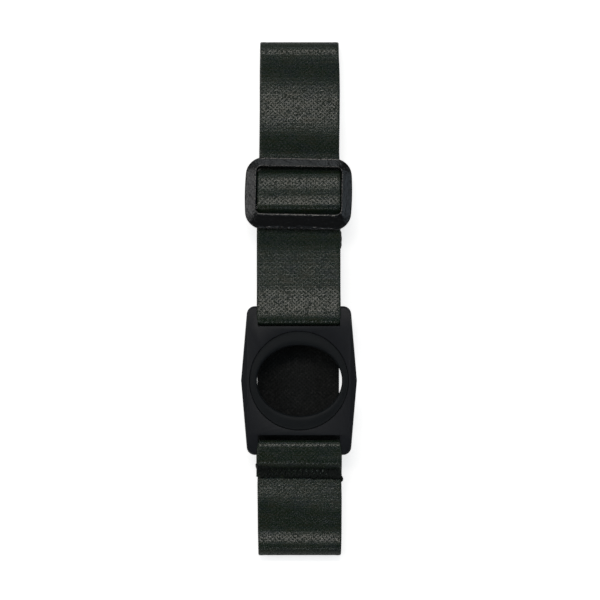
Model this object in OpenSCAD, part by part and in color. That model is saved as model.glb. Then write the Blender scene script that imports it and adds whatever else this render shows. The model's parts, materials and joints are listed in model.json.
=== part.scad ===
// Adjustable elastic webbing arm band: one length of webbing made into a flat loop,
// a tri-glide slider and a moulded holder plate with a round pocket for a small puck.
// The band lies flat: X is the webbing's width, Y its length, Z up from the surface it rests on.

/* [Webbing] */
// Width of the webbing
strap_w = 25; // [24:0.5:25.5]
// Thickness of the webbing
strap_t = 1.0; // [0.8:0.05:1.05]
// Length of the flattened loop, fold to fold
loop_len = 158.8; // [150:1:180]
// Clear gap between the back run and the front layers
loop_gap = 4.8; // [4.6:0.1:6]
// Length of the back run that lies flat when the loop is opened
back_flat = 80; // [60:2:90]

/* [Slider] */
// Width of the slider frame
slider_w = 33.2; // [32:0.2:36]
// Y of the slider's centre bar
slider_y = 33.2; // [32.5:0.1:34]
// Thickness of the slider frame
slider_t = 2.6; // [2.2:0.1:3]
// Radius of the slider's centre bar
bar_r = 1.0; // [0.8:0.05:1]
// Lean of the slider frame on its doubled webbing, degrees
slider_lean = 6.4; // [5.5:0.1:7]

/* [Holder] */
// Y of the holder plate's middle
holder_y = -25.3; // [-25.6:0.1:-25]
// Length of the holder plate
holder_l = 45.8; // [45.4:0.1:46.2]
// Width of the holder plate at its middle
holder_mid_w = 35.7; // [35:0.1:37]
// Width of the holder plate at its ends
holder_end_w = 32.2; // [31.6:0.1:33]
// Thickness of the holder plate
holder_t = 4.5; // [4.2:0.1:4.8]
// Radius of the round puck pocket
pocket_r = 15.0; // [14.8:0.05:15]
// Width of each webbing slot
slot_w = 3.0; // [2.9:0.05:3.1]
// Length of each webbing slot, across the plate
slot_l = 25.3; // [25.3:0.1:26.5]

/* [Grip ring] */
// Outer radius of the grip ring
ring_r = 15.15; // [15.1:0.01:15.2]
// Width of the oval window in the ring, across the webbing
window_w = 26.2; // [25:0.1:27]
// Height of the oval window in the ring, along the webbing
window_h = 21.9; // [20:0.1:23]

/* [Seams] */
// Length of one zigzag tooth along the seam
tooth = 1.75; // [1.5:0.05:2]
// Width of the zigzag seam
seam_h = 3.4; // [3:0.1:3.6]
// Diameter of the thread
thread = 0.4; // [0.3:0.05:0.5]

/* [Hidden] */

t = strap_t;
gap = 0.15;                              // between two layers of webbing
base = t + loop_gap;                     // underside of the lowest front layer
z1 = base + t / 2;                       // middle of the first front layer
z2 = z1 + t + gap;                       // middle of the second
z3 = z2 + t + gap;                       // middle of the third
fold_r = (base + t) / 2 - t / 2;         // middle of the webbing in a fold
fold_z = t / 2 + fold_r;
fold_y = loop_len / 2 - fold_r - t / 2;

loop_r = bar_r + 0.1 + t / 2;            // webbing round the centre bar
hump_r = loop_r + t + gap;               // webbing crossing over it
bar_z = z1 + loop_r;
cross_up = 12.3;                         // from the bar to where the crossing ends above the slider
cross_down = 15.2;                       // and below it
sewn_end = 17.6;                         // from the bar to the sewn end's cut edge
loop_end = 18.2;                         // from the bar to where the return run starts

eye_r = 1.5;                             // radius of the holder's rounded end bars
wrap_r = eye_r + 0.25 + t / 2;           // webbing round them
eye_z = z1 + wrap_r;
holder_z = eye_z - 1.65;
holder_top = holder_z + holder_t;
eye_y = holder_l / 2 - eye_r - 0.15;     // axis of a bar, from the plate's middle
slot_in = eye_y - eye_r - slot_w;        // slot's inner edge
seat_z = holder_z + 2.7;                 // where the grip ring sits
arm_slope = 9.5;
dip = 35;                                // slope of the sewn-down end leaving the lower bar, degrees
rise = 12;                               // slope of the webbing coming up to the upper bar, degrees
rise_z = eye_z + wrap_r * cos(rise) - (3 - holder_y - eye_y - wrap_r * sin(rise)) * tan(rise);

webbing = [0.15, 0.17, 0.15];

function arc(c, r, a0, a1, n) = [for (i = [0:n]) let (a = a0 + (a1 - a0) * i / n) c + r * [cos(a), sin(a)]];
function unit(v) = v / norm(v);
function side(p, i, w) =
    let (n = len(p) - 1,
         d0 = unit(i > 0 ? p[i] - p[i - 1] : p[1] - p[0]),
         d1 = unit(i < n ? p[i + 1] - p[i] : p[n] - p[n - 1]),
         m = unit([-d0[1] - d1[1], d0[0] + d1[0]]))
    p[i] + m * w / (m * [-d0[1], d0[0]]);
function square(p, a, w) = p + w * [-sin(a), cos(a)];
function outline(p, w, a, b) = let (n = len(p) - 1) concat(
    [a == undef ? side(p, 0, w) : square(p[0], a, w)], [for (i = [1:1:n - 1]) side(p, i, w)],
    [b == undef ? side(p, n, w) : square(p[n], b, w)], [b == undef ? side(p, n, -w) : square(p[n], b, -w)],
    [for (i = [n - 1:-1:1]) side(p, i, -w)], [a == undef ? side(p, 0, -w) : square(p[0], a, -w)]);

// One stretch of webbing: a path in the Y-Z plane, thickened and drawn across X.
// A stretch that starts or ends in a curve gives its heading there, so that it meets the next one squarely.
module stretch(path, first = undef, last = undef) {
    color(webbing) rotate([90, 0, 90]) linear_extrude(strap_w, center = true)
        polygon(outline(path, t / 2, first, last));
}

// Where a slope of a given angle, leaving an arc of radius r at its top, comes down to level z
function landing(c, r, slope, z) = (r * cos(slope) + c[1] - z) / tan(slope) + r * sin(slope);

module strap_back_middle() stretch([[-back_flat / 2, t / 2], [back_flat / 2, t / 2]]);
module strap_back_upper() stretch([[back_flat / 2, t / 2], [fold_y, t / 2]]);
module strap_back_lower() stretch([[-fold_y, t / 2], [-back_flat / 2, t / 2]]);
module strap_top_fold() stretch(arc([fold_y, fold_z], fold_r, -90, 90, 16), 0, 180);
module strap_bottom_fold() stretch(arc([-fold_y, fold_z], fold_r, 90, 270, 16), 180, 0);
module strap_upper_front() stretch([[fold_y, z1], [slider_y + cross_up, z1]]);

// Over the slider's centre bar, behind its two outer bars
module strap_slider_crossing() {
    c = [slider_y, bar_z];
    stretch(concat([[slider_y + cross_up, z1], [slider_y + landing(c, hump_r, 40, z1), z1]],
                   arc(c, hump_r, 50, 120, 7),
                   [[slider_y - landing(c, hump_r, 30, z3), z3], [slider_y - cross_down, z3]]));
}

// From the slider to the holder, held straight between them
module strap_middle_front()
    stretch([[slider_y - cross_down, z3], [slider_y - loop_end, z3], [3, rise_z]], last = 180);

// Over, round and back under the holder's upper bar
module strap_upper_wrap()
    stretch(concat([[3, rise_z]], arc([holder_y + eye_y, eye_z], wrap_r, 90 - rise, 270, 18), [[-1, z1]]),
            first = 180);

module strap_return() stretch([[-1, z1], [slider_y - loop_end, z1]]);

// Webbing's inner end, wrapped round the slider's centre bar and sewn back on itself
module strap_end_loop() {
    c = [slider_y, bar_z];
    stretch(concat([[slider_y - loop_end, z1]],
                   arc(c, loop_r, -90, 120, 14),
                   [[slider_y - landing(c, loop_r, 30, z2), z2], [slider_y - sewn_end, z2]]));
}

module strap_lower_front() stretch([[holder_y - 31.7, z1], [-fold_y, z1]]);

// Under and up round the holder's lower bar
module strap_lower_wrap()
    stretch(concat([[holder_y - 31.7, z1]], arc([holder_y - eye_y, eye_z], wrap_r, -90, 90, 14)), last = 180);

// Webbing's outer end, folded forward over the lower bar and sewn down
module strap_end_tab() {
    c = [holder_y - eye_y, eye_z];
    stretch(concat(arc(c, wrap_r, 90, 90 + dip, 4),
                   [[c[0] - landing(c, wrap_r, dip, z2), z2], [holder_y - 30.5, z2]]), first = 180);
}

// A zigzag row of stitches across the webbing
module zigzag(y, z, h) {
    n = floor((strap_w - 0.6) / tooth);
    slant = atan2(seam_h - thread, tooth / 2);
    run = norm([seam_h - thread, tooth / 2]);
    color([0.04, 0.04, 0.045]) translate([-n * tooth / 2, y, z]) for (i = [0:2 * n - 1])
        translate([(i + 0.5) * tooth / 2, 0, 0]) rotate(i % 2 == 0 ? slant : -slant)
            translate([-run / 2 - thread / 2, -thread / 2, 0]) cube([run + thread, thread, h]);
}

module tab_seam() zigzag(holder_y - 28.6, z2 + t / 2 - 0.1, thread);
module end_loop_seam() zigzag(slider_y - sewn_end + 2.1, base - 0.25, thread);

function rounded(w, h, r, n) = concat(
    arc([w / 2 - r, h / 2 - r], r, 0, 90, n), arc([r - w / 2, h / 2 - r], r, 90, 180, n),
    arc([r - w / 2, r - h / 2], r, 180, 270, n), arc([w / 2 - r, r - h / 2], r, 270, 360, n));

// Flat frame with a window, a round centre bar set low, and a boss at each end of the bar
module slider_frame() color([0.1, 0.1, 0.105])
    translate([0, slider_y, bar_z]) rotate([-slider_lean, 0, 0]) {
        difference() {
            // crowned: the outer edge is thinner than the rim of the window
            translate([0, -1.05, 1.0]) hull() {
                translate([0, 0, 0.6]) linear_extrude(slider_t - 1.5) polygon(rounded(slider_w, 21.8, 4, 8));
                linear_extrude(slider_t - 0.4) polygon(rounded(slider_w - 1.2, 20.6, 3.4, 8));
                translate([0, 0.8, 0]) linear_extrude(slider_t) polygon(rounded(slider_w - 5.8, 15.8, 2.4, 8));
            }
            translate([0, -0.25, 0]) linear_extrude(8, center = true) polygon(rounded(26.2, 14.4, 1.4, 5));
        }
        rotate([0, 90, 0]) cylinder(h = 28, r = bar_r, center = true, $fn = 48);
        for (s = [-1, 1]) translate([s * 14.75, 0, 0]) rotate([0, 90, 0])
            cylinder(h = 2.9, r = 1.7, center = true, $fn = 48);
    }

// Six-sided plate outline with rounded corners
plate = let (w = holder_end_w / 2 - 2.5, h = holder_l / 2 - 2.5, r = 2.5) concat(
    [[holder_mid_w / 2, 0]], arc([w, h], r, 4, 90, 8), arc([-w, h], r, 90, 176, 8),
    [[-holder_mid_w / 2, 0]], arc([-w, -h], r, 184, 270, 8), arc([w, -h], r, 270, 356, 8));

module holder_frame() color([0.13, 0.13, 0.135]) translate([0, holder_y, 0]) {
    difference() {
        // straight-sided top, with flanks that slope out and down from it
        translate([0, 0, holder_z]) hull() {
            linear_extrude(holder_t - 1.7) polygon(plate);
            linear_extrude(holder_t) polygon(rounded(holder_end_w - 0.5, holder_l - 2.6, 2.2, 8));
        }
        for (s = [-1, 1]) {
            // open end, which the bar closes
            translate([-slot_l / 2, s > 0 ? slot_in : -slot_in - 12, holder_z - 1]) cube([slot_l, 12, 8]);
            // the arms beside the webbing slope down towards the ends
            translate([0, s * slot_in, holder_top]) rotate([-s * arm_slope, 0, 0])
                translate([-20, s > 0 ? 0 : -12, 0]) cube([40, 12, 3]);
        }
        translate([0, 0, holder_z - 1]) cylinder(h = 5, r = pocket_r, $fn = 96);
        translate([0, 0, seat_z]) cylinder(h = 5, r = 15.3, $fn = 96);
    }
    for (s = [-1, 1]) translate([0, s * eye_y, eye_z]) rotate([0, 90, 0])
        cylinder(h = 27.6, r = eye_r, center = true, $fn = 48);
}

// Soft lip that keeps the puck in: round outside, oval window, dished front
module grip_ring() color([0.11, 0.115, 0.12]) translate([0, holder_y, 0]) difference() {
    translate([0, 0, seat_z + 0.02]) cylinder(h = holder_top - seat_z - 0.12, r = ring_r, $fn = 96);
    translate([0, 0, holder_top - 1.0]) cylinder(h = 1.2, r1 = 10.4, r2 = 14.9, $fn = 96);
    translate([0, 0, seat_z - 1]) linear_extrude(5)
        polygon([for (i = [0:71]) [window_w / 2 * cos(i * 5), window_h / 2 * sin(i * 5)]]);
}

strap_back_middle();
strap_back_upper();
strap_back_lower();
strap_top_fold();
strap_bottom_fold();
strap_upper_front();
strap_slider_crossing();
strap_middle_front();
strap_upper_wrap();
strap_return();
strap_end_loop();
strap_lower_front();
strap_lower_wrap();
strap_end_tab();
tab_seam();
end_loop_seam();
slider_frame();
holder_frame();
grip_ring();
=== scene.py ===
# An adjustable webbing arm band with a moulded puck holder, lying flat on a pale floor.
import json
import math

import bmesh
import bpy
import numpy as np
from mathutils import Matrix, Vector


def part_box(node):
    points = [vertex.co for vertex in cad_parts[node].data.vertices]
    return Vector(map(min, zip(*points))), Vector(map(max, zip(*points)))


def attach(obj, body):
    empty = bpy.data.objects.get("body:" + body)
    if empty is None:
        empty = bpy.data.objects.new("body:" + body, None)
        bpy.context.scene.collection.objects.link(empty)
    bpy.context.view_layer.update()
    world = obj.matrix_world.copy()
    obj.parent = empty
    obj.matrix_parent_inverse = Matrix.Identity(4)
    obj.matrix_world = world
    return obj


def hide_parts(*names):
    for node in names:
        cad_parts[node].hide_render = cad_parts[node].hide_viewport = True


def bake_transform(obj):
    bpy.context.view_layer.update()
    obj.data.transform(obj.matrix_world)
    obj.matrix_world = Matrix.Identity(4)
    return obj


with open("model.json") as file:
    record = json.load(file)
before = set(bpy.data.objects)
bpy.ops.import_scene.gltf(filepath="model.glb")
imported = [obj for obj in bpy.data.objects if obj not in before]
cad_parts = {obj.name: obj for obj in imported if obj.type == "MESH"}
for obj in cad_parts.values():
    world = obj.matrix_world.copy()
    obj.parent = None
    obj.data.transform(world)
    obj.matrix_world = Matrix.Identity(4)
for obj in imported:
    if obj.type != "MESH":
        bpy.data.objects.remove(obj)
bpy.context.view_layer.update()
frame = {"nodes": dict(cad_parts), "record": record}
MM = 0.001
rng = np.random.default_rng(7)

# ---------------------------------------------------------------- places, from the frame
joints = {j["name"]: j for j in frame["record"]["behaviour"]["joints"]}
BAR = [1000 * v for v in joints["slider_tilt"]["pos_m"][1:]]      # slider's centre bar, (Y, Z) in mm
EYE = [1000 * v for v in joints["holder_tilt"]["pos_m"][1:]]      # holder's upper bar


def box(node):
    lo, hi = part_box(node)
    return [1000 * v for v in lo], [1000 * v for v in hi]


T = box("strap_back_middle")[1][2]                                 # webbing's thickness
Z1 = box("strap_upper_front")[0][2] + T / 2                        # middles of the front layers
Z2 = Z1 + T + 0.15
Z3 = Z2 + T + 0.15
FOLD_R = (Z1 - T / 2) / 2
FOLD_Z = T / 2 + FOLD_R
FOLD_Y = box("strap_top_fold")[0][1]
FOLD_LO = box("strap_bottom_fold")[1][1]
hl, hh = box("holder_frame")
HOLD_Y = (hl[1] + hh[1]) / 2
HOLD_TOP = hh[2]
EYE_LO = [2 * HOLD_Y - EYE[0], EYE[1]]
WRAP_R = EYE[1] - Z1
LOOP_R = BAR[1] - Z1
HUMP_R = LOOP_R + T + 0.15


# ---------------------------------------------------------------- node helpers
def material(name):
    m = bpy.data.materials.new(name)
    m.use_nodes = True
    nt = m.node_tree
    nt.nodes.clear()
    out = nt.nodes.new("ShaderNodeOutputMaterial")
    p = nt.nodes.new("ShaderNodeBsdfPrincipled")
    nt.links.new(p.outputs[0], out.inputs[0])
    return m, nt, p


class Sum:
    """Shader maths written as sums."""

    def __init__(self, nt, socket):
        self.nt, self.s = nt, socket

    def op(self, kind, *others):
        n = self.nt.nodes.new("ShaderNodeMath")
        n.operation = kind
        for i, v in enumerate((self,) + others):
            if isinstance(v, Sum):
                self.nt.links.new(v.s, n.inputs[i])
            else:
                n.inputs[i].default_value = v
        return Sum(self.nt, n.outputs[0])

    def __add__(self, o):
        return self.op("ADD", o)

    def __radd__(self, o):
        return self.op("ADD", o)

    def __sub__(self, o):
        return self.op("SUBTRACT", o)

    def __mul__(self, o):
        return self.op("MULTIPLY", o)

    def __rmul__(self, o):
        return self.op("MULTIPLY", o)

    def sin(self):
        return self.op("SINE")

    def abs(self):
        return self.op("ABSOLUTE")

    def power(self, o):
        return self.op("POWER", o)

    def clamp(self):
        n = self.op("ADD", 0.0)
        n.s.node.use_clamp = True
        return n


def noise(nt, vector, scale, detail=2.0, rough=0.5, dist=0.0, dims="3D"):
    n = nt.nodes.new("ShaderNodeTexNoise")
    n.noise_dimensions = dims
    n.inputs["Scale"].default_value = scale
    n.inputs["Detail"].default_value = detail
    n.inputs["Roughness"].default_value = rough
    n.inputs["Distortion"].default_value = dist
    nt.links.new(vector, n.inputs["Vector"])
    return Sum(nt, n.outputs[0])


def cells(nt, vector, scale):
    n = nt.nodes.new("ShaderNodeTexVoronoi")
    n.inputs["Scale"].default_value = scale
    nt.links.new(vector, n.inputs["Vector"])
    sep = nt.nodes.new("ShaderNodeSeparateColor")
    nt.links.new(n.outputs["Color"], sep.inputs[0])
    return Sum(nt, n.outputs["Distance"]), Sum(nt, sep.outputs[0])


def ramp(value, *stops):
    nt = value.nt
    n = nt.nodes.new("ShaderNodeValToRGB")
    while len(n.color_ramp.elements) < len(stops):
        n.color_ramp.elements.new(0.5)
    for e, (at, colour) in zip(n.color_ramp.elements, stops):
        e.position = at
        e.color = (*colour, 1) if len(colour) == 3 else colour
    nt.links.new(value.s, n.inputs[0])
    return n.outputs[0]


def mix(nt, factor, a, b, kind="MIX"):
    n = nt.nodes.new("ShaderNodeMix")
    n.data_type = "RGBA"
    n.blend_type = kind
    nt.links.new(factor.s, n.inputs[0])
    for i, v in ((6, a), (7, b)):
        if isinstance(v, tuple):
            n.inputs[i].default_value = (*v, 1)
        else:
            nt.links.new(v, n.inputs[i])
    return n.outputs[2]


def between(value, lo, hi):
    """value from 0 to 1 becomes lo to hi."""
    n = value.nt.nodes.new("ShaderNodeMapRange")
    value.nt.links.new(value.s, n.inputs[0])
    n.inputs[3].default_value, n.inputs[4].default_value = lo, hi
    return Sum(value.nt, n.outputs[0])


def bump(nt, p, height, distance, strength=1.0):
    n = nt.nodes.new("ShaderNodeBump")
    n.inputs["Distance"].default_value = distance
    n.inputs["Strength"].default_value = strength
    nt.links.new(height.s, n.inputs["Height"])
    nt.links.new(n.outputs[0], p.inputs["Normal"])


# ---------------------------------------------------------------- materials
def webbing_material():
    m, nt, p = material("webbing_twill")
    uv = nt.nodes.new("ShaderNodeUVMap")
    uv.uv_map = "strap"
    sep = nt.nodes.new("ShaderNodeSeparateXYZ")
    nt.links.new(uv.outputs[0], sep.inputs[0])
    u, v = Sum(nt, sep.outputs[0]), Sum(nt, sep.outputs[1])          # millimetres across and along
    vec = uv.outputs[0]
    tau = 2 * math.pi
    wu = noise(nt, vec, 0.5, 2.0) * 0.5
    wv = noise(nt, vec, 0.43, 2.0, 0.5, 0.2) * 0.6
    uu, vv = u + wu, v + wv
    lattice = (uu * (tau / 1.39)).sin() * (vv * (tau / 1.24)).sin()
    ribs = (vv * (tau / 1.24)).sin()                                  # faint weft ribs
    _, rnd = cells(nt, vec, 2.1)
    fuzz = noise(nt, vec, 2.2, 2.0, 0.7)
    stretch = nt.nodes.new("ShaderNodeMapping")
    stretch.inputs["Scale"].default_value = (0.15, 1.5, 1.0)
    nt.links.new(vec, stretch.inputs["Vector"])
    streaks = noise(nt, stretch.outputs[0], 1.0, 3.0, 0.6)             # single weft threads show as fine lines across
    dots = ((lattice + fuzz * 1.1 - 0.94) * 4.0).clamp()              # staggered gaps between the threads
    pores = ((rnd - 0.80) * 9.0).clamp()
    holes = dots.op("MAXIMUM", pores)
    glint = ((rnd * -1.0 + 0.17) * 12.0).clamp()                      # a few threads lie flat and shine
    inner = (u - 500.0).op("GREATER_THAN", -250.0)                    # the loop's inner face is brushed and dull, and its colour is painted almost black as painted shade
    height = (rnd * 0.20 + fuzz * 1.25 + ribs * 0.06 - dots * 0.45) * between(inner, 1.0, 0.10)
    bump(nt, p, height, 0.075 * MM, 1.0)
    # colour: green black, drifting slowly towards blue and towards olive
    slow = noise(nt, vec, 0.16, 3.0, 0.6, 0.5)
    body = ramp(slow * 0.42 + streaks * 0.58, (0.36, (0.0088, 0.0172, 0.0168)), (0.5, (0.0086, 0.0198, 0.0098)), (0.64, (0.0160, 0.0200, 0.0078)))
    outer_colour = mix(nt, holes * 0.55, body, (0.0036, 0.0078, 0.0046))
    # painted shade: the loop's inner face lies in shadow inside the loop, so its colour is mixed almost to black
    colour = mix(nt, inner * 0.97, outer_colour, (0.0016, 0.0024, 0.0024))
    nt.links.new(colour, p.inputs["Base Color"])
    rough = between(holes, 0.27, 0.70) - glint * 0.15 + fuzz * 0.16 - 0.08 + inner * 0.6
    nt.links.new(rough.s, p.inputs["Roughness"])
    p.inputs["Specular IOR Level"].default_value = 0.5
    p.inputs["Sheen Weight"].default_value = 0.02
    p.inputs["Sheen Roughness"].default_value = 0.4
    return m


def object_vector(nt):
    tc = nt.nodes.new("ShaderNodeTexCoord")
    return tc.outputs["Object"]


def slider_material():
    m, nt, p = material("slider_plastic")
    vec = object_vector(nt)
    a = noise(nt, vec, 1400, 2.0, 0.6)
    b = noise(nt, vec, 420, 2.0, 0.5)
    bump(nt, p, a * 1.0 + b * 1.0, 0.15 * MM, 1.0)
    drift = noise(nt, vec, 90, 2.0)
    colour = ramp(drift, (0.35, (0.0048, 0.0056, 0.0062)), (0.65, (0.0078, 0.0084, 0.0090)))
    nt.links.new(colour, p.inputs["Base Color"])
    rough = between(noise(nt, vec, 1500, 3.0, 0.8), 0.02, 0.36)
    nt.links.new(rough.s, p.inputs["Roughness"])
    p.inputs["Specular IOR Level"].default_value = 0.5
    return m


def holder_material():
    m, nt, p = material("holder_plastic")
    vec = object_vector(nt)
    grain = noise(nt, vec, 3200, 2.0, 0.6)
    soft = noise(nt, vec, 260, 2.0, 0.5)
    bump(nt, p, grain * 1.0 + soft * 0.8, 0.018 * MM, 0.8)
    drift = noise(nt, vec, 70, 3.0)
    colour = ramp(drift, (0.35, (0.0052, 0.0070, 0.0104)), (0.65, (0.0074, 0.0088, 0.0124)))
    nt.links.new(colour, p.inputs["Base Color"])
    rough = between(noise(nt, vec, 500, 3.0, 0.6), 0.42, 0.60)
    nt.links.new(rough.s, p.inputs["Roughness"])
    p.inputs["Specular IOR Level"].default_value = 0.30
    return m


def ring_material():
    m, nt, p = material("ring_rubber")
    vec = object_vector(nt)
    grain = noise(nt, vec, 2600, 2.0, 0.6)
    bump(nt, p, grain, 0.016 * MM, 0.7)
    drift = noise(nt, vec, 120, 2.0)
    colour = ramp(drift, (0.35, (0.0046, 0.0068, 0.0086)), (0.65, (0.0062, 0.0086, 0.0106)))
    nt.links.new(colour, p.inputs["Base Color"])
    rough = between(noise(nt, vec, 400, 3.0, 0.6), 0.48, 0.64)
    nt.links.new(rough.s, p.inputs["Roughness"])
    p.inputs["Specular IOR Level"].default_value = 0.22
    return m


def thread_material():
    m, nt, p = material("seam_thread")
    uv = nt.nodes.new("ShaderNodeUVMap")
    uv.uv_map = "strap"
    sep = nt.nodes.new("ShaderNodeSeparateXYZ")
    nt.links.new(uv.outputs[0], sep.inputs[0])
    u, v = Sum(nt, sep.outputs[0]), Sum(nt, sep.outputs[1])
    twist = ((u * 2.0 + v * 2.2) * (2 * math.pi)).sin()               # plies round the thread
    fuzz = noise(nt, uv.outputs[0], 9.0, 2.0)
    bump(nt, p, twist * 0.5 + fuzz * 0.6, 0.05 * MM, 0.9)
    colour = ramp(twist * 0.3 + fuzz, (0.2, (0.0022, 0.0044, 0.0034)), (0.8, (0.0062, 0.0098, 0.0080)))
    nt.links.new(colour, p.inputs["Base Color"])
    rough = between(fuzz, 0.55, 0.8)
    nt.links.new(rough.s, p.inputs["Roughness"])
    p.inputs["Specular IOR Level"].default_value = 0.3
    return m


WEB, SLIDER, HOLDER, RING, THREAD = webbing_material(), slider_material(), holder_material(), ring_material(), thread_material()


# ---------------------------------------------------------------- mesh helpers
def new_object(name, verts, faces, mat, uvs=None, sharp=()):
    """verts in mm. uvs is one (u, v) per face corner, in face order. sharp is a set of vertex pairs."""
    me = bpy.data.meshes.new(name)
    me.from_pydata([(x * MM, y * MM, z * MM) for x, y, z in verts], [], faces)
    if uvs is not None:
        layer = me.uv_layers.new(name="strap")
        layer.data.foreach_set("uv", np.asarray(uvs, dtype=np.float32).ravel())
    for poly in me.polygons:
        poly.use_smooth = True
    if sharp:
        marks = me.attributes.new("sharp_edge", "BOOLEAN", "EDGE")
        flags = np.zeros(len(me.edges), dtype=bool)
        for i, e in enumerate(me.edges):
            if tuple(sorted(e.vertices)) in sharp:
                flags[i] = True
        marks.data.foreach_set("value", flags)
    me.materials.append(mat)
    me.validate()
    me.update()
    ob = bpy.data.objects.new(name, me)
    bpy.context.scene.collection.objects.link(ob)
    return ob


def arc(c, r, a0, a1, step=3.0):
    n = max(2, int(abs(a1 - a0) / step))
    return [(c[0] + r * math.cos(math.radians(a)), c[1] + r * math.sin(math.radians(a))) for a in np.linspace(a0, a1, n + 1)]


def landing(c, r, slope, z):
    s = math.radians(slope)
    return (r * math.cos(s) + c[1] - z) / math.tan(s) + r * math.sin(s)


# ---------------------------------------------------------------- the webbing, one path from end to end
TAB_END = HOLD_Y - 29.75
LY, UY = EYE_LO[0], EYE[0]
tab = [(TAB_END, Z2 - 0.42), (TAB_END + 1.5, Z2 - 0.3), (TAB_END + 2.9, Z2 + 0.05), (LY - 5.55, 8.2), (LY - 4.95, 9.3), (LY - 4.2, 10.05), (LY - 3.3, 10.38), (LY - 2.0, 10.52), (LY - 0.6, 10.62), (LY + 1.2, 10.74),
       (LY + 2.15, 10.35), (LY + 2.42, 9.5), (LY + 2.38, 8.4), (LY + 1.95, 7.3), (LY + 1.1, 6.6), (LY - 0.2, Z1)]
lower = [(-57.0, Z1), (FOLD_LO - 0.2, Z1)] + arc([FOLD_LO - 0.2, FOLD_Z], FOLD_R, 90, 270)
back = [(FOLD_Y, T / 2)] + arc([FOLD_Y, FOLD_Z], FOLD_R, -90, 90)
BY = BAR[0]
cross = [(45.5, Z1), (BY + 8.0, Z1 + 0.02), (BY + 6.9, 6.55), (BY + 6.2, 7.4), (BY + 5.8, 8.4), (BY + 5.3, 9.15), (BY + 4.3, 9.96), (BY + 3.5, 10.30), (BY + 2.5, 10.47), (BY + 1.6, 10.62), (BY + 0.8, 10.72),
         (BY, 10.77), (BY - 0.8, 10.765), (BY - 1.7, 10.77), (BY - 2.6, 10.86), (BY - 3.3, 11.02), (BY - 4.0, 11.23), (BY - 4.5, 11.35), (BY - 4.9, 11.37), (BY - 5.5, 11.08), (BY - 6.1, 10.4), (BY - 6.8, 9.6),
         (BY - 7.7, 9.25), (BY - 9.0, 9.2), (BY - 11.2, 9.2), (BY - 15.2, 8.72)]
middle = [(16.4, 8.48), (14.5, 8.42), (10.5, 8.6), (3.0, 9.15), (-0.4, 9.75), (UY + 1.6, 10.25), (UY, 10.66), (UY - 1.8, 10.9), (UY - 3.1, 10.75),
          (UY - 3.72, 10.1), (UY - 3.75, 9.0), (UY - 3.3, 7.9), (UY - 2.3, 6.9), (UY - 0.9, Z1 + 0.12), (UY + 0.8, Z1)]
ret = [(15.0, Z1), (BAR[0] - 4, Z1)] + arc(BAR, LOOP_R, -90, 120)
ret += [(BAR[0] - landing(BAR, LOOP_R, 30, Z2), Z2), (BAR[0] - 17.6, Z2)]
raw = np.array(tab + lower + back + cross + middle + ret)
STEP = 0.3


def resample(pts, step):
    s = np.concatenate([[0], np.cumsum(np.linalg.norm(np.diff(pts, axis=0), axis=1))])
    n = int(round(s[-1] / step))
    at = np.linspace(0, s[-1], n + 1)
    return np.stack([np.interp(at, s, pts[:, 0]), np.interp(at, s, pts[:, 1])], 1)


def smooth(pts, sigma, step):
    k = np.arange(-int(4 * sigma / step), int(4 * sigma / step) + 1)
    w = np.exp(-((k * step) ** 2) / (2 * sigma**2))
    w /= w.sum()
    a = np.concatenate([[2 * pts[0] - p for p in pts[len(k) // 2:0:-1]], pts, [2 * pts[-1] - p for p in pts[-2:-len(k) // 2 - 1:-1]]])
    return np.stack([np.convolve(a[:, i], w, "valid") for i in (0, 1)], 1)


fine = resample(raw, 0.05)
soft, softer = smooth(fine, 0.42, 0.05), smooth(fine, 0.5, 0.05)
over = np.clip((fine[:, 1] - 9.3) / 0.6, 0, 1)                         # the webbing lies in wider curves where it is free of its neighbours
over *= np.clip((fine[:, 0] - 5) / 3, 0, 1)
path = resample(soft + (softer - soft) * over[:, None], STEP)
S = np.arange(len(path)) * STEP
tangent = np.gradient(path, axis=0)
tangent /= np.linalg.norm(tangent, axis=1)[:, None]
normal = np.stack([-tangent[:, 1], tangent[:, 0]], 1)


def index_at(y, z, lo=0, hi=None):
    """The path's sample nearest a point, between two samples."""
    hi = len(path) if hi is None else hi
    return lo + int(np.argmin(np.hypot(path[lo:hi, 0] - y, path[lo:hi, 1] - z)))


i_wrap_out = index_at(-57.4, Z1)
i_fold_lo = index_at(FOLD_LO + 0.9, Z1, i_wrap_out)
i_back_lo = index_at(FOLD_LO + 0.9, T / 2, i_fold_lo)
i_mid_lo = index_at(-40, T / 2, i_back_lo)
i_mid_hi = index_at(40, T / 2, i_mid_lo)
i_back_hi = index_at(FOLD_Y - 0.9, T / 2, i_mid_hi)
i_fold_hi = index_at(FOLD_Y - 0.9, Z1, i_back_hi)
i_cross = index_at(45.5, Z1, i_fold_hi)
i_mid = index_at(18.0, Z3, i_cross)
i_wrap = index_at(3.0, 9.15, i_mid)
i_ret = index_at(-1.0, Z1, i_wrap)
i_loop = index_at(15.0, Z1, i_ret)
cuts = [0, i_wrap_out, i_fold_lo, i_back_lo, i_mid_lo, i_mid_hi, i_back_hi, i_fold_hi, i_cross, i_mid, i_wrap, i_ret, i_loop, len(path) - 1]

i_tab_top = index_at(LY + 0.2, 10.7, 0, i_wrap_out)
i_slot_lo = index_at(LY + 2.2, 8.8, i_tab_top, i_wrap_out)
i_in = index_at(BY + 6.0, 7.9, i_cross, i_mid)
i_out = index_at(BY - 7.6, 9.4, i_cross, i_mid)
i_up_top = index_at(UY - 1.2, 10.8, i_wrap - 4, i_ret)
i_slot_hi = index_at(UY - 3.3, 8.8, i_up_top, i_ret)
i_win = index_at(HOLD_Y, T / 2, i_mid_lo, i_mid_hi)
per = 1 / STEP
front = lambda y: index_at(y, Z1, i_fold_hi, i_cross)
below = lambda y: index_at(y, Z1, i_wrap_out, i_fold_lo)
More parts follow.
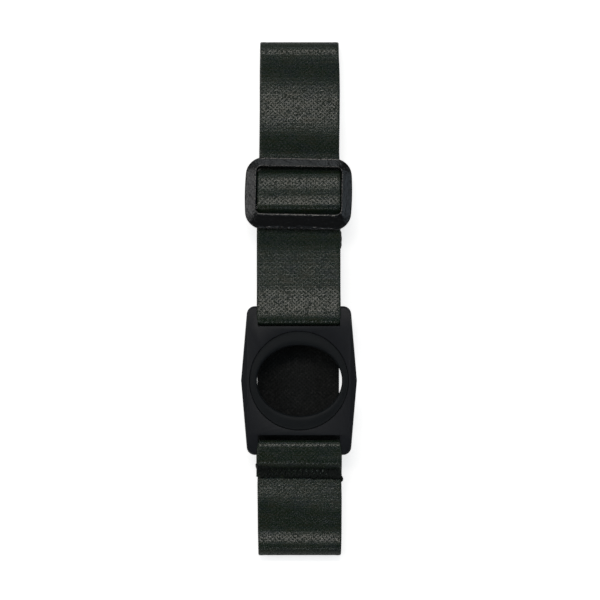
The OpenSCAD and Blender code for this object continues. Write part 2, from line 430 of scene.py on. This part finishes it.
# width along the path: elastic webbing narrows where it is pulled, and where it goes through a slot
marks = [(0, 26.3), (i_tab_top - 1.5 * per, 26.3), (i_tab_top + 1.0 * per, 25.8), (i_slot_lo - 0.4 * per, 25.12), (i_slot_lo + 3 * per, 25.15), (i_wrap_out, 25.95), (below(-61), 25.98), (below(-72), 25.85), (i_fold_lo, 25.7),
         (i_back_lo, 25.3), (i_win - 26 * per, 25.2), (i_win - 17 * per, 25.6), (i_win - 9 * per, 25.35), (i_win + 9 * per, 25.35), (i_win + 17 * per, 25.6), (i_win + 26 * per, 25.1), (i_mid_hi, 24.8),
         (i_back_hi, 24.2), (i_fold_hi, 24.3), (front(70), 24.64), (front(64), 24.75), (front(58), 24.67), (front(51.5), 24.62), (i_cross, 24.6),
         (i_in - 1.2 * per, 25.1), (i_in + 0.4 * per, 25.66), (i_out - 1.5 * per, 25.7), (i_out + 1 * per, 25.8),
         (i_mid, 25.8), (i_wrap, 25.75), (i_up_top, 25.85), (i_slot_hi - 0.3 * per, 25.12), (i_slot_hi + 3 * per, 25.15), (i_ret, 25.2), (i_loop, 25.5), (i_loop + 15 * per, 25.0), (len(path) - 1, 25.5)]
width = np.interp(np.arange(len(path)), [m[0] for m in marks], [m[1] for m in marks])
width = smooth(np.stack([width, width], 1), 0.5, STEP)[:, 0]
# sideways drift of the centre line
marks = [(0, 0.0), (i_wrap_out, 0.12), (below(-61), 0.2), (below(-72), 0.22), (i_fold_lo, 0.27), (i_back_lo, 0.1), (i_win - 26 * per, 0.0), (i_win - 17 * per, 0.0), (i_win - 9 * per, -0.25), (i_win + 9 * per, -0.25), (i_win + 17 * per, 0.0), (i_mid_hi, 0.0),
         (i_fold_hi, 0.14), (front(70), 0.22), (front(64), 0.25), (front(55), 0.22), (i_cross, 0.13), (i_in, 0.04), (i_mid, -0.12), (i_wrap, -0.1), (i_ret, -0.05), (len(path) - 1, 0.0)]
drift = np.interp(np.arange(len(path)), [m[0] for m in marks], [m[1] for m in marks])
drift = smooth(np.stack([drift, drift], 1), 2.0, STEP)[:, 0]
thick = np.full(len(path), T)
end = S < 3.0
thick[end] = 0.62 + 0.38 * (S[end] / 3.0)                             # pressed thin under the seam


def waves(y, knots):
    """Smooth height through (Y, height) turning points."""
    ys, hs = np.array([k[0] for k in knots]), np.array([k[1] for k in knots])
    i = np.clip(np.searchsorted(ys, y) - 1, 0, len(ys) - 2)
    f = np.clip((y - ys[i]) / (ys[i + 1] - ys[i]), 0, 1)
    f = (1 - np.cos(np.pi * f)) / 2
    return hs[i] * (1 - f) + hs[i + 1] * f


UPPER = [(43.0, -0.05), (51.4, 0.98), (66.4, -0.52), (75.2, 0.2), (76.2, 0.2), (79.8, 0.1)]
LOWER = [(-79.5, 0.60), (-77.5, 0.62), (-71.5, -0.50), (-64.5, 0.50), (-53.6, -0.40)]
TAB_RISE = [(-55.4, 0.0), (-52.2, 1.0), (-47.4, 0.0), (-46.0, 0.0)]
i_dip = index_at(-52.0, Z1, i_slot_lo, i_wrap_out)
BACK = [(-72, 0.0), (-60, 0.25), (-47, 0.0), (-30, 0.12), (-12, 0.0), (18, 0.3), (36, 0.0), (52, 0.35), (68, 0.0)]


LEAN = [(-71, 0.1), (-64, 1.0), (-56, 0.2)]


def lift(i, x, y):
    """How far the webbing at sample i stands off its plain path."""
    if i_dip <= i <= i_fold_lo + 12:
        return waves(y + 0.14 * x * float(waves(y, LEAN)), LOWER) * min(1.0, (i - i_dip) / 9) * min(1.0, max(0.0, (i_fold_lo + 12 - i) / 12))
    if i_back_lo <= i <= i_back_hi:
        return waves(y, BACK) * min(1.0, (i - i_back_lo) / 10, (i_back_hi - i) / 10)
    if i_fold_hi - 12 <= i <= i_cross + 8:
        return waves(y + 0.035 * x, UPPER) * min(1.0, max(0.0, (i - i_fold_hi + 12) / 12)) * min(1.0, (i_cross + 8 - i) / 12)
    if i < i_tab_top - 4:                                              # the tab stands a little proud on its right
        return 0.45 * min(1.0, max(0.0, (x + 2.0) / 9.0)) ** 2 * float(waves(y, TAB_RISE))
    return 0.0


ACROSS = 30


def section(w, t):
    """Points (x, h) round the webbing: flat faces, rounded selvedges a little thicker than the middle."""
    r = 0.42 * t
    pts = []
    xs = np.linspace(-w / 2 + r, w / 2 - r, ACROSS + 1)
    edge = lambda x: 1 + 0.10 * math.exp(-(((w / 2 - abs(x)) - 1.0) / 0.45) ** 2) - 0.05 * math.exp(-(((w / 2 - abs(x)) - 2.1) / 0.4) ** 2)
    pts += [(x, t / 2 * edge(x)) for x in xs]
    pts += [(w / 2 - r + r * math.sin(a), t / 2 * math.cos(a)) for a in np.linspace(0, math.pi, 9)[1:-1]]
    pts += [(x, -t / 2 * edge(x)) for x in xs[::-1]]
    pts += [(-w / 2 + r - r * math.sin(a), -t / 2 * math.cos(a)) for a in np.linspace(0, math.pi, 9)[1:-1]]
    return pts


def webbing(name, a, b):
    """The stretch of webbing from sample a to sample b, closed at both ends."""
    verts, us = [], []
    # pieces whose inner face is rougher and has its colour painted almost black as painted shade
    inner_dull_painted_shade = a >= i_wrap_out and b <= i_mid
    for i in range(a, b + 1):
        p, n = path[i], normal[i]
        ring = section(width[i], thick[i])
        scallop = 0.045 * math.sin(2 * math.pi * S[i] / 1.2)
        for x, h in ring:
            k = max(0.0, (abs(x) - (width[i] / 2 - 0.6)) / 0.6)
            xx = x + math.copysign(scallop * k, x) + drift[i]
            verts.append((xx, p[0] + n[0] * h, p[1] + n[1] * h + lift(i, x, p[0])))
            us.append(x)
    m = len(ring)
    side = [500.0 if inner_dull_painted_shade and ring[k][1] > 0 and ring[(k + 1) % m][1] > 0 else 0.0 for k in range(m)]
    faces, uvs = [], []
    count = b - a + 1
    for j in range(count - 1):
        for k in range(m):
            k2 = (k + 1) % m
            f = (j * m + k, j * m + k2, (j + 1) * m + k2, (j + 1) * m + k)
            faces.append(f[::-1])
            s0, s1 = S[a + j], S[a + j + 1]
            o = side[k]
            c = [(us[j * m + k] + o, s0), (us[j * m + k2] + o, s0), (us[j * m + k2] + o, s1), (us[j * m + k] + o, s1)]
            uvs += c[::-1]
    sharp = set()
    for j, flip in ((0, False), (count - 1, True)):
        loop = [j * m + k for k in range(m)]
        for q in range(m):
            sharp.add(tuple(sorted((loop[q], loop[(q + 1) % m]))))
        # strips across the end, top to bottom
        top = loop[:ACROSS + 1]
        bottom = loop[ACROSS + 8:2 * ACROSS + 9][::-1]
        strips = [(top[q], top[q + 1], bottom[q + 1], bottom[q]) for q in range(ACROSS)]
        strips.append(tuple([top[-1]] + loop[ACROSS + 1:ACROSS + 8] + [bottom[-1]]))
        strips.append(tuple([bottom[0]] + loop[2 * ACROSS + 9:] + [top[0]]))
        for f in strips:
            f = f[::-1] if flip else f
            faces.append(f)
            uvs += [(us[q], S[a + j] + 0.3 * (verts[q][2])) for q in f]
    ob = new_object(name, verts, faces, WEB, uvs, sharp)
    bm = bmesh.new()
    bm.from_mesh(ob.data)
    bmesh.ops.recalc_face_normals(bm, faces=bm.faces)
    bm.to_mesh(ob.data)
    bm.free()
    return ob


pieces = {
    "web_lower_end": (0, i_wrap_out, ["strap_lower_wrap", "strap_end_tab"]),
    "web_lower_front": (i_wrap_out, i_fold_lo, ["strap_lower_front"]),
    "web_bottom_fold": (i_fold_lo, i_back_lo, ["strap_bottom_fold"]),
    "web_back_lower": (i_back_lo, i_mid_lo, ["strap_back_lower"]),
    "web_back_middle": (i_mid_lo, i_mid_hi, ["strap_back_middle"]),
    "web_back_upper": (i_mid_hi, i_back_hi, ["strap_back_upper"]),
    "web_top_fold": (i_back_hi, i_fold_hi, ["strap_top_fold"]),
    "web_upper_front": (i_fold_hi, i_cross, ["strap_upper_front"]),
    "web_slider_crossing": (i_cross, i_mid, ["strap_slider_crossing"]),
    "web_middle_front": (i_mid, i_wrap, ["strap_middle_front"]),
    "web_upper_wrap": (i_wrap, i_ret, ["strap_upper_wrap"]),
    "web_return": (i_ret, i_loop, ["strap_return"]),
    "web_end_loop": (i_loop, len(path) - 1, ["strap_end_loop"]),
}
web = {}
for name, (a, b, nodes) in pieces.items():
    web[name] = webbing(name, a, b)
    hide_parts(*nodes)


# ---------------------------------------------------------------- thread
def tube(points, r, sides=8, closed_ends=True):
    """Verts, faces and uvs of a thread through 3-D points in mm."""
    pts = np.array(points, dtype=float)
    tan = np.gradient(pts, axis=0)
    tan /= np.linalg.norm(tan, axis=1)[:, None] + 1e-12
    up = np.array([0.0, 0.0, 1.0])
    verts, faces, uvs = [], [], []
    s = np.concatenate([[0], np.cumsum(np.linalg.norm(np.diff(pts, axis=0), axis=1))])
    prev = None
    for p, t in zip(pts, tan):
        n = up - t * up.dot(t)
        if np.linalg.norm(n) < 0.2:
            n = prev if prev is not None else np.array([1.0, 0, 0])
        n = n - t * n.dot(t)
        n /= np.linalg.norm(n)
        prev = n
        b = np.cross(t, n)
        for k in range(sides):
            a = 2 * math.pi * k / sides
            verts.append(tuple(p + r * (math.cos(a) * n + math.sin(a) * b)))
    for i in range(len(pts) - 1):
        for k in range(sides):
            k2 = (k + 1) % sides
            faces.append((i * sides + k, i * sides + k2, (i + 1) * sides + k2, (i + 1) * sides + k))
            uvs += [(k / sides, s[i]), ((k + 1) / sides, s[i]), ((k + 1) / sides, s[i + 1]), (k / sides, s[i + 1])]
    faces.append(tuple(range(sides))[::-1])
    uvs += [(0, 0)] * sides
    faces.append(tuple((len(pts) - 1) * sides + k for k in range(sides)))
    uvs += [(0, 0)] * sides
    return verts, faces, uvs


def join_tubes(name, tubes, mat):
    verts, faces, uvs = [], [], []
    for v, f, u in tubes:
        off = len(verts)
        verts += v
        faces += [tuple(q + off for q in x) for x in f]
        uvs += u
    return new_object(name, verts, faces, mat, uvs)


def stitches(y_top, y_low, x0, x1, teeth, z_of, r, sway, slant=0.0):
    """One zigzag thread lying on the webbing, dipping into it at each needle hole."""
    pts = []
    xs = np.linspace(x0, x1, int(round(2 * teeth)) + 1)
    holes = []
    for q, x in enumerate(xs):
        up = q % 2 == 0
        holes.append((x + sway * rng.uniform(-1, 1), (y_top if up else y_low) + slant * x + sway * 1.8 * rng.uniform(-1, 1)))
    for (ax, ay), (bx, by) in zip(holes, holes[1:]):
        for f in np.linspace(0, 1, 9)[:-1]:
            x, y = ax + (bx - ax) * f, ay + (by - ay) * f
            high = math.sin(math.pi * f) ** 0.6
            pts.append((x, y, z_of(x, y) - r * 1.2 + (r * 1.75) * high))
    pts.append((*holes[-1], z_of(*holes[-1]) - r))
    return pts


tab_face = path[:i_tab_top] + normal[:i_tab_top] * (thick[:i_tab_top, None] / 2)
LOW_FACE = Z1 + T / 2


def tab_surface(x, y):
    """Top of the webbing where the tab lies on the lower strap."""
    if y < tab_face[0, 0] - 0.4:
        return LOW_FACE
    return max(LOW_FACE, float(np.interp(y, tab_face[:, 0], tab_face[:, 1]))) + lift(6, x, y)


SLANT = -0.03
tubes = []
for top, low, x0, x1, teeth, r, sway in ((3.1, -0.3, -12.7, 12.75, 14.5, 0.27, 0.14), (1.3, -0.2, -12.3, 12.8, 14.0, 0.38, 0.16), (3.6, 0.4, -12.75, -9.4, 3.5, 0.34, 0.12), (3.0, 0.8, -12.4, -9.2, 3, 0.3, 0.15),
                                         (3.0, -0.2, 8.6, 12.7, 4.5, 0.33, 0.15), (2.4, 0.3, 9.3, 12.6, 3.5, 0.3, 0.15)):
    tubes.append(tube(stitches(TAB_END + top, TAB_END + low, x0, x1, teeth, tab_surface, r, sway, SLANT), r))
# thread that runs back over the right selvedge, and a short tail at the left
tubes.append(tube([(12.7, TAB_END + 0.5, 7.3), (13.15, TAB_END - 0.1, 7.2), (13.4, TAB_END - 0.65, 6.7), (13.25, TAB_END - 1.2, 6.2), (12.8, TAB_END - 1.5, 5.9)], 0.32))
tubes.append(tube([(-12.9, TAB_END + 4.2, 8.2), (-13.2, TAB_END + 3.8, 7.8), (-13.15, TAB_END + 3.1, 7.0), (-12.9, TAB_END + 2.4, 6.4)], 0.26))
# the same seam seen from the back of the layer
tubes.append(tube(stitches(TAB_END + 3.3, TAB_END - 0.1, -12.5, 12.5, 15, lambda x, y: 0.0, 0.2, 0.08), 0.2))
v = tubes[-1][0]
tubes[-1] = ([(x, y, (Z1 - T / 2) - z) for x, y, z in v], [f[::-1] for f in tubes[-1][1]], tubes[-1][2])
tab_seam = join_tubes("thread_tab_seam", tubes, THREAD)
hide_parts("tab_seam")

Y_END = BAR[0] - 17.6
tubes = [tube(stitches(Y_END + 3.6, Y_END + 0.3, -12.3, 12.4, 15, lambda x, y: 0.0, 0.2, 0.08), 0.2)]
v = tubes[0][0]
tubes[0] = ([(x, y, (Z1 - T / 2) - z) for x, y, z in v], [f[::-1] for f in tubes[0][1]], tubes[0][2])
for z0, r, start, stop, out in ((Z1 + 0.2, 0.50, 0.4, 4.6, 12.35), (Z2 - 0.35, 0.58, 0.0, 5.0, 12.4), (Z2 + 0.2, 0.50, 0.3, 4.5, 12.3)):
    line = np.linspace(Y_END + start, Y_END + stop, 15)
    tubes.append(tube([(out + 0.22 * math.sin(math.pi * (y - line[0]) / (line[-1] - line[0])) ** 0.5 + 0.05 * math.sin(3.1 * y + z0), y, z0 + 0.1 * math.sin(3.0 * y)) for y in line], r))
end_seam = join_tubes("thread_end_seam", tubes, THREAD)
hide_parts("end_loop_seam")


# ---------------------------------------------------------------- slider
def rounded(w, h, r, per_corner, per_side, bulge=0.0, flare=0.0):
    """Points round a rounded rectangle. bulge pushes the two short sides out."""
    pts = []
    for q, (cx, cy) in enumerate(((1, 1), (-1, 1), (-1, -1), (1, -1))):
        a0 = 90 * q
        ex, ey = cx * (w / 2 - r), cy * (h / 2 - r)
        corner = [(ex + r * math.cos(math.radians(a)), ey + r * math.sin(math.radians(a))) for a in np.linspace(a0, a0 + 90, per_corner + 1)]
        pts += corner
        nx, ny = ((1, 1), (-1, 1), (-1, -1), (1, -1))[(q + 1) % 4]
        a1 = math.radians(a0 + 90)
        nxt = (nx * (w / 2 - r) + r * math.cos(a1), ny * (h / 2 - r) + r * math.sin(a1))
        for f in np.linspace(0, 1, per_side + 1)[1:-1]:
            pts.append((corner[-1][0] + (nxt[0] - corner[-1][0]) * f, corner[-1][1] + (nxt[1] - corner[-1][1]) * f))
    out = []
    for x, y in pts:
        k = math.cos(math.pi / 2 * min(1.0, abs(y) / (h / 2))) if h else 0
        out.append((x + math.copysign(bulge * k * min(1.0, abs(x) / (w / 2)) ** 4, x), y))
    return out


def ring_between(inner, outer, profile, sides=None):
    """Verts and faces of a closed band between two loops; profile is (f, z) round its section, f 0 at the inner loop.
    sides gives the heights to use instead on the two short sides."""
    n, m = len(inner), len(profile)
    verts = []
    for (ix, iy), (ox, oy) in zip(inner, outer):
        k = min(1.0, max(0.0, (abs(ox) - 11.2) / 4.2)) if sides else 0.0
        k = k * k * (3 - 2 * k)
        for q, (f, z) in enumerate(profile):
            verts.append((ix + (ox - ix) * f, iy + (oy - iy) * f, z + (sides[q] - z) * k if sides else z))
    faces = [(i * m + k, ((i + 1) % n) * m + k, ((i + 1) % n) * m + (k + 1) % m, i * m + (k + 1) % m) for i in range(n) for k in range(m)]
    return verts, faces


def fix_normals(ob):
    bm = bmesh.new()
    bm.from_mesh(ob.data)
    bmesh.ops.recalc_face_normals(bm, faces=bm.faces)
    bm.to_mesh(ob.data)
    bm.free()


def rod(x0, x1, r, n=32, cy=0.0, cz=0.0, soft=0.25):
    """A rod along X with softened ends."""
    rings = [(x0, r - soft), (x0 + soft * 0.3, r - soft * 0.3), (x0 + soft, r)] + [(x, r) for x in np.linspace(x0 + soft, x1 - soft, 8)[1:-1]] + [(x1 - soft, r), (x1 - soft * 0.3, r - soft * 0.3), (x1, r - soft)]
    verts = [(x, cy + q * math.cos(2 * math.pi * k / n), cz + q * math.sin(2 * math.pi * k / n)) for x, q in rings for k in range(n)]
    faces = [(i * n + k, i * n + (k + 1) % n, (i + 1) * n + (k + 1) % n, (i + 1) * n + k) for i in range(len(rings) - 1) for k in range(n)]
    faces += [tuple(range(n))[::-1], tuple((len(rings) - 1) * n + k for k in range(n))]
    return verts, faces


sl, sh = box("slider_frame")
outer = rounded(31.9, 22.27, 4.9, 10, 12, bulge=0.6)
inner = rounded(26.2, 14.5, 1.6, 10, 12)
outer = [(x - 0.14, y - 1.26) for x, y in outer]
inner = [(x - 0.06, y - 0.38) for x, y in inner]
lo, hi = 1.0, 3.6
prof = [(-0.10, lo + 0.45), (-0.10, hi - 1.35), (-0.03, hi - 0.85), (0.0, hi - 0.18), (0.010, hi - 0.055), (0.09, hi), (0.15, hi - 0.04), (0.27, hi - 0.20), (0.50, hi - 0.48), (0.72, hi - 0.76), (0.85, hi - 0.97), (0.94, hi - 0.91), (0.975, hi - 1.05),
        (1.0, hi - 1.55), (1.0, lo + 0.6), (0.95, lo + 0.26), (0.85, lo + 0.07), (0.7, lo), (0.3, lo), (0.08, lo + 0.05), (-0.05, lo + 0.2)]
flank = [z for f, z in prof]
for q, (f, z) in enumerate(prof):
    if z > hi - 1.0 and 0.09 < f < 0.9:
        flank[q] = hi - 0.27 * 3.6 * (f - 0.09) * 1.08                # the sides fall away more evenly
v1, f1 = ring_between(inner, outer, prof, flank)
v2, f2 = rod(-13.9, 13.9, 1.0)
verts, faces = list(v1), list(f1)
for vv, ff in ((v2, f2), rod(13.25, 16.2, 1.7), rod(-16.2, -13.25, 1.7)):
    off = len(verts)
    verts += vv
    faces += [tuple(q + off for q in f) for f in ff]
lean, turn = math.radians(-6.4), math.radians(-1.1)
placed = []
for x, y, z in verts:
    x, y = x * math.cos(turn) - y * math.sin(turn), x * math.sin(turn) + y * math.cos(turn)
    y, z = y * math.cos(lean) - z * math.sin(lean), y * math.sin(lean) + z * math.cos(lean)
    placed.append((x, y + BAR[0], z + BAR[1]))
slider = new_object("slider_moulding", placed, faces, SLIDER)
fix_normals(slider)
mod = slider.modifiers.new("soft", "SUBSURF")
mod.levels = mod.render_levels = 1
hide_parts("slider_frame")


# ---------------------------------------------------------------- holder
def copy_node(node, name, mat):
    """The CAD node's own shape as a new mesh, with its flat faces joined up again."""
    me = frame["nodes"][node].data.copy()
    me.name = name
    me.materials.clear()
    me.materials.append(mat)
    bm = bmesh.new()
    bm.from_mesh(me)
    bmesh.ops.remove_doubles(bm, verts=bm.verts, dist=0.002 * MM)
    bmesh.ops.dissolve_limit(bm, angle_limit=math.radians(0.6), verts=bm.verts, edges=bm.edges, delimit=set())
    bmesh.ops.recalc_face_normals(bm, faces=bm.faces)
    layer = bm.edges.layers.float.new("bevel_weight_edge")
    high = max(v.co.z for v in bm.verts)
    for e in bm.edges:
        if len(e.link_faces) == 2 and e.calc_face_angle(0) > math.radians(20):
            side = all(abs(v.co.x) > 15.2 * MM and v.co.z > high - 0.05 * MM for v in e.verts)
            e[layer] = 1.0 if side and abs(e.verts[0].co.x - e.verts[1].co.x) < 0.01 * MM else 0.4
    for f in bm.faces:
        f.smooth = True
    bm.to_mesh(me)
    bm.free()
    ob = bpy.data.objects.new(name, me)
    bpy.context.scene.collection.objects.link(ob)
    return ob


holder = copy_node("holder_frame", "holder_moulding", HOLDER)
mod = holder.modifiers.new("edges", "BEVEL")
mod.width = 0.8 * MM
mod.segments = 4
mod.limit_method = "WEIGHT"
mod.harden_normals = True
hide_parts("holder_frame")

# grip ring: round outside, oval window, crowned lip
gl, gh = box("grip_ring")
R_OUT = (gh[0] - gl[0]) / 2
n = 160
outer = [(R_OUT * math.cos(2 * math.pi * k / n), HOLD_Y + R_OUT * math.sin(2 * math.pi * k / n)) for k in range(n)]
inner = [(0.15 + 13.05 * math.cos(2 * math.pi * k / n), HOLD_Y + 10.85 * math.sin(2 * math.pi * k / n)) for k in range(n)]
zb, zt = gl[2], gh[2]
prof = [(1.0, zb), (1.0, zt - 0.30), (0.99, zt - 0.14), (0.96, zt - 0.16), (0.80, zt - 0.12), (0.50, zt - 0.035), (0.32, zt), (0.18, zt - 0.05), (0.08, zt - 0.20),
        (0.02, zt - 0.50), (0.0, zt - 1.0), (0.0, zb + 0.12), (0.02, zb)]
vv, ff = ring_between(inner, outer, prof)
ring = new_object("grip_ring_soft", vv, ff, RING)
fix_normals(ring)
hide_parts("grip_ring")

# ---------------------------------------------------------------- bodies
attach(web["web_lower_end"], "holder")
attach(tab_seam, "holder")
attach(holder, "holder")
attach(ring, "holder")
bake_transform(web["web_lower_front"])
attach(web["web_bottom_fold"], "front")
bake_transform(web["web_back_lower"])
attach(web["web_back_middle"], "back")
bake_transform(web["web_back_upper"])
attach(web["web_top_fold"], "front")
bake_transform(web["web_upper_front"])
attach(web["web_slider_crossing"], "carriage")
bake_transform(web["web_middle_front"])
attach(web["web_upper_wrap"], "front")
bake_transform(web["web_return"])
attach(web["web_end_loop"], "carriage")
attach(end_seam, "carriage")
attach(slider, "slider")

# ---------------------------------------------------------------- floor, lights, camera
def floor_material():
    m, nt, p = material("studio_floor")
    p.inputs["Base Color"].default_value = (0.86, 0.86, 0.86, 1)
    p.inputs["Roughness"].default_value = 0.9
    p.inputs["Specular IOR Level"].default_value = 0.0
    p.inputs["Emission Color"].default_value = (1, 1, 1, 1)
    path_kind = nt.nodes.new("ShaderNodeLightPath")                  # the floor shows white but lights the object only by what it reflects
    strength = between(Sum(nt, path_kind.outputs["Is Camera Ray"]), 0.0, 0.72)
    nt.links.new(strength.s, p.inputs["Emission Strength"])
    return m


me = bpy.data.meshes.new("studio_floor")
me.from_pydata([(-3, -3, -0.00005), (3, -3, -0.00005), (3, 3, -0.00005), (-3, 3, -0.00005)], [], [(0, 1, 2, 3)])
me.materials.append(floor_material())
floor = bpy.data.objects.new("studio_floor", me)
bpy.context.scene.collection.objects.link(floor)

world = bpy.data.worlds.new("studio")
bpy.context.scene.world = world
world.use_nodes = True
bg = world.node_tree.nodes["Background"]
bg.inputs[0].default_value = (1, 1, 1, 1)
bg.inputs[1].default_value = 0.05
bpy.context.scene.view_settings.view_transform = "Standard"


def area(name, angle, turn, distance, size, size_y, radiance, colour=(1, 1, 1)):
    """A softbox aimed at the middle: angle from straight overhead, turn from +Y towards +X, both in degrees."""
    a, t = math.radians(angle), math.radians(turn)
    distance, size, size_y = 2 * distance, 2 * size, 2 * size_y
    at = Vector((math.sin(a) * math.sin(t), math.sin(a) * math.cos(t), math.cos(a))) * distance
    d = bpy.data.lights.new(name, "AREA")
    d.shape = "RECTANGLE"
    d.size, d.size_y = size, size_y
    d.energy = radiance * math.pi * size * size_y
    d.color = colour
    o = bpy.data.objects.new(name, d)
    o.location = at
    o.rotation_euler = (-at).to_track_quat("-Z", "Y").to_euler()
    bpy.context.scene.collection.objects.link(o)
    return o


area("key", 27, -6, 1.1, 0.60, 0.23, 6.8, (1.0, 0.945, 0.88))
area("sky", 12, 4, 1.2, 0.50, 0.13, 1.2, (0.60, 0.82, 1.0))
area("low", 50, 177, 1.0, 0.60, 0.035, 8.0, (0.92, 0.97, 1.0))
area("rim_up", 60, -6, 1.0, 0.60, 0.24, 1.6, (0.90, 0.97, 1.0))
area("rim_low", 64, 176, 1.0, 0.60, 0.18, 0.8, (1.0, 0.99, 0.95))
area("left", 40, -80, 1.0, 0.60, 0.30, 2.8)
area("right", 41, 81, 1.0, 0.55, 0.28, 1.55, (0.76, 0.89, 1.0))

cam_data = bpy.data.cameras.new("camera")
cam = bpy.data.objects.new("camera", cam_data)
bpy.context.scene.collection.objects.link(cam)
D = 1.0
SCALE = 0.309 * MM * 600                                           # metres across the picture at the strap's height
cam_data.sensor_fit = "HORIZONTAL"
cam_data.sensor_width = 36
cam_data.lens = 36 * D / SCALE
cam_data.clip_start = 0.01
cam.location = (0.00031, -0.0005, D + 0.006)
cam.rotation_euler = (0, 0, 0)
bpy.context.scene.camera = cam
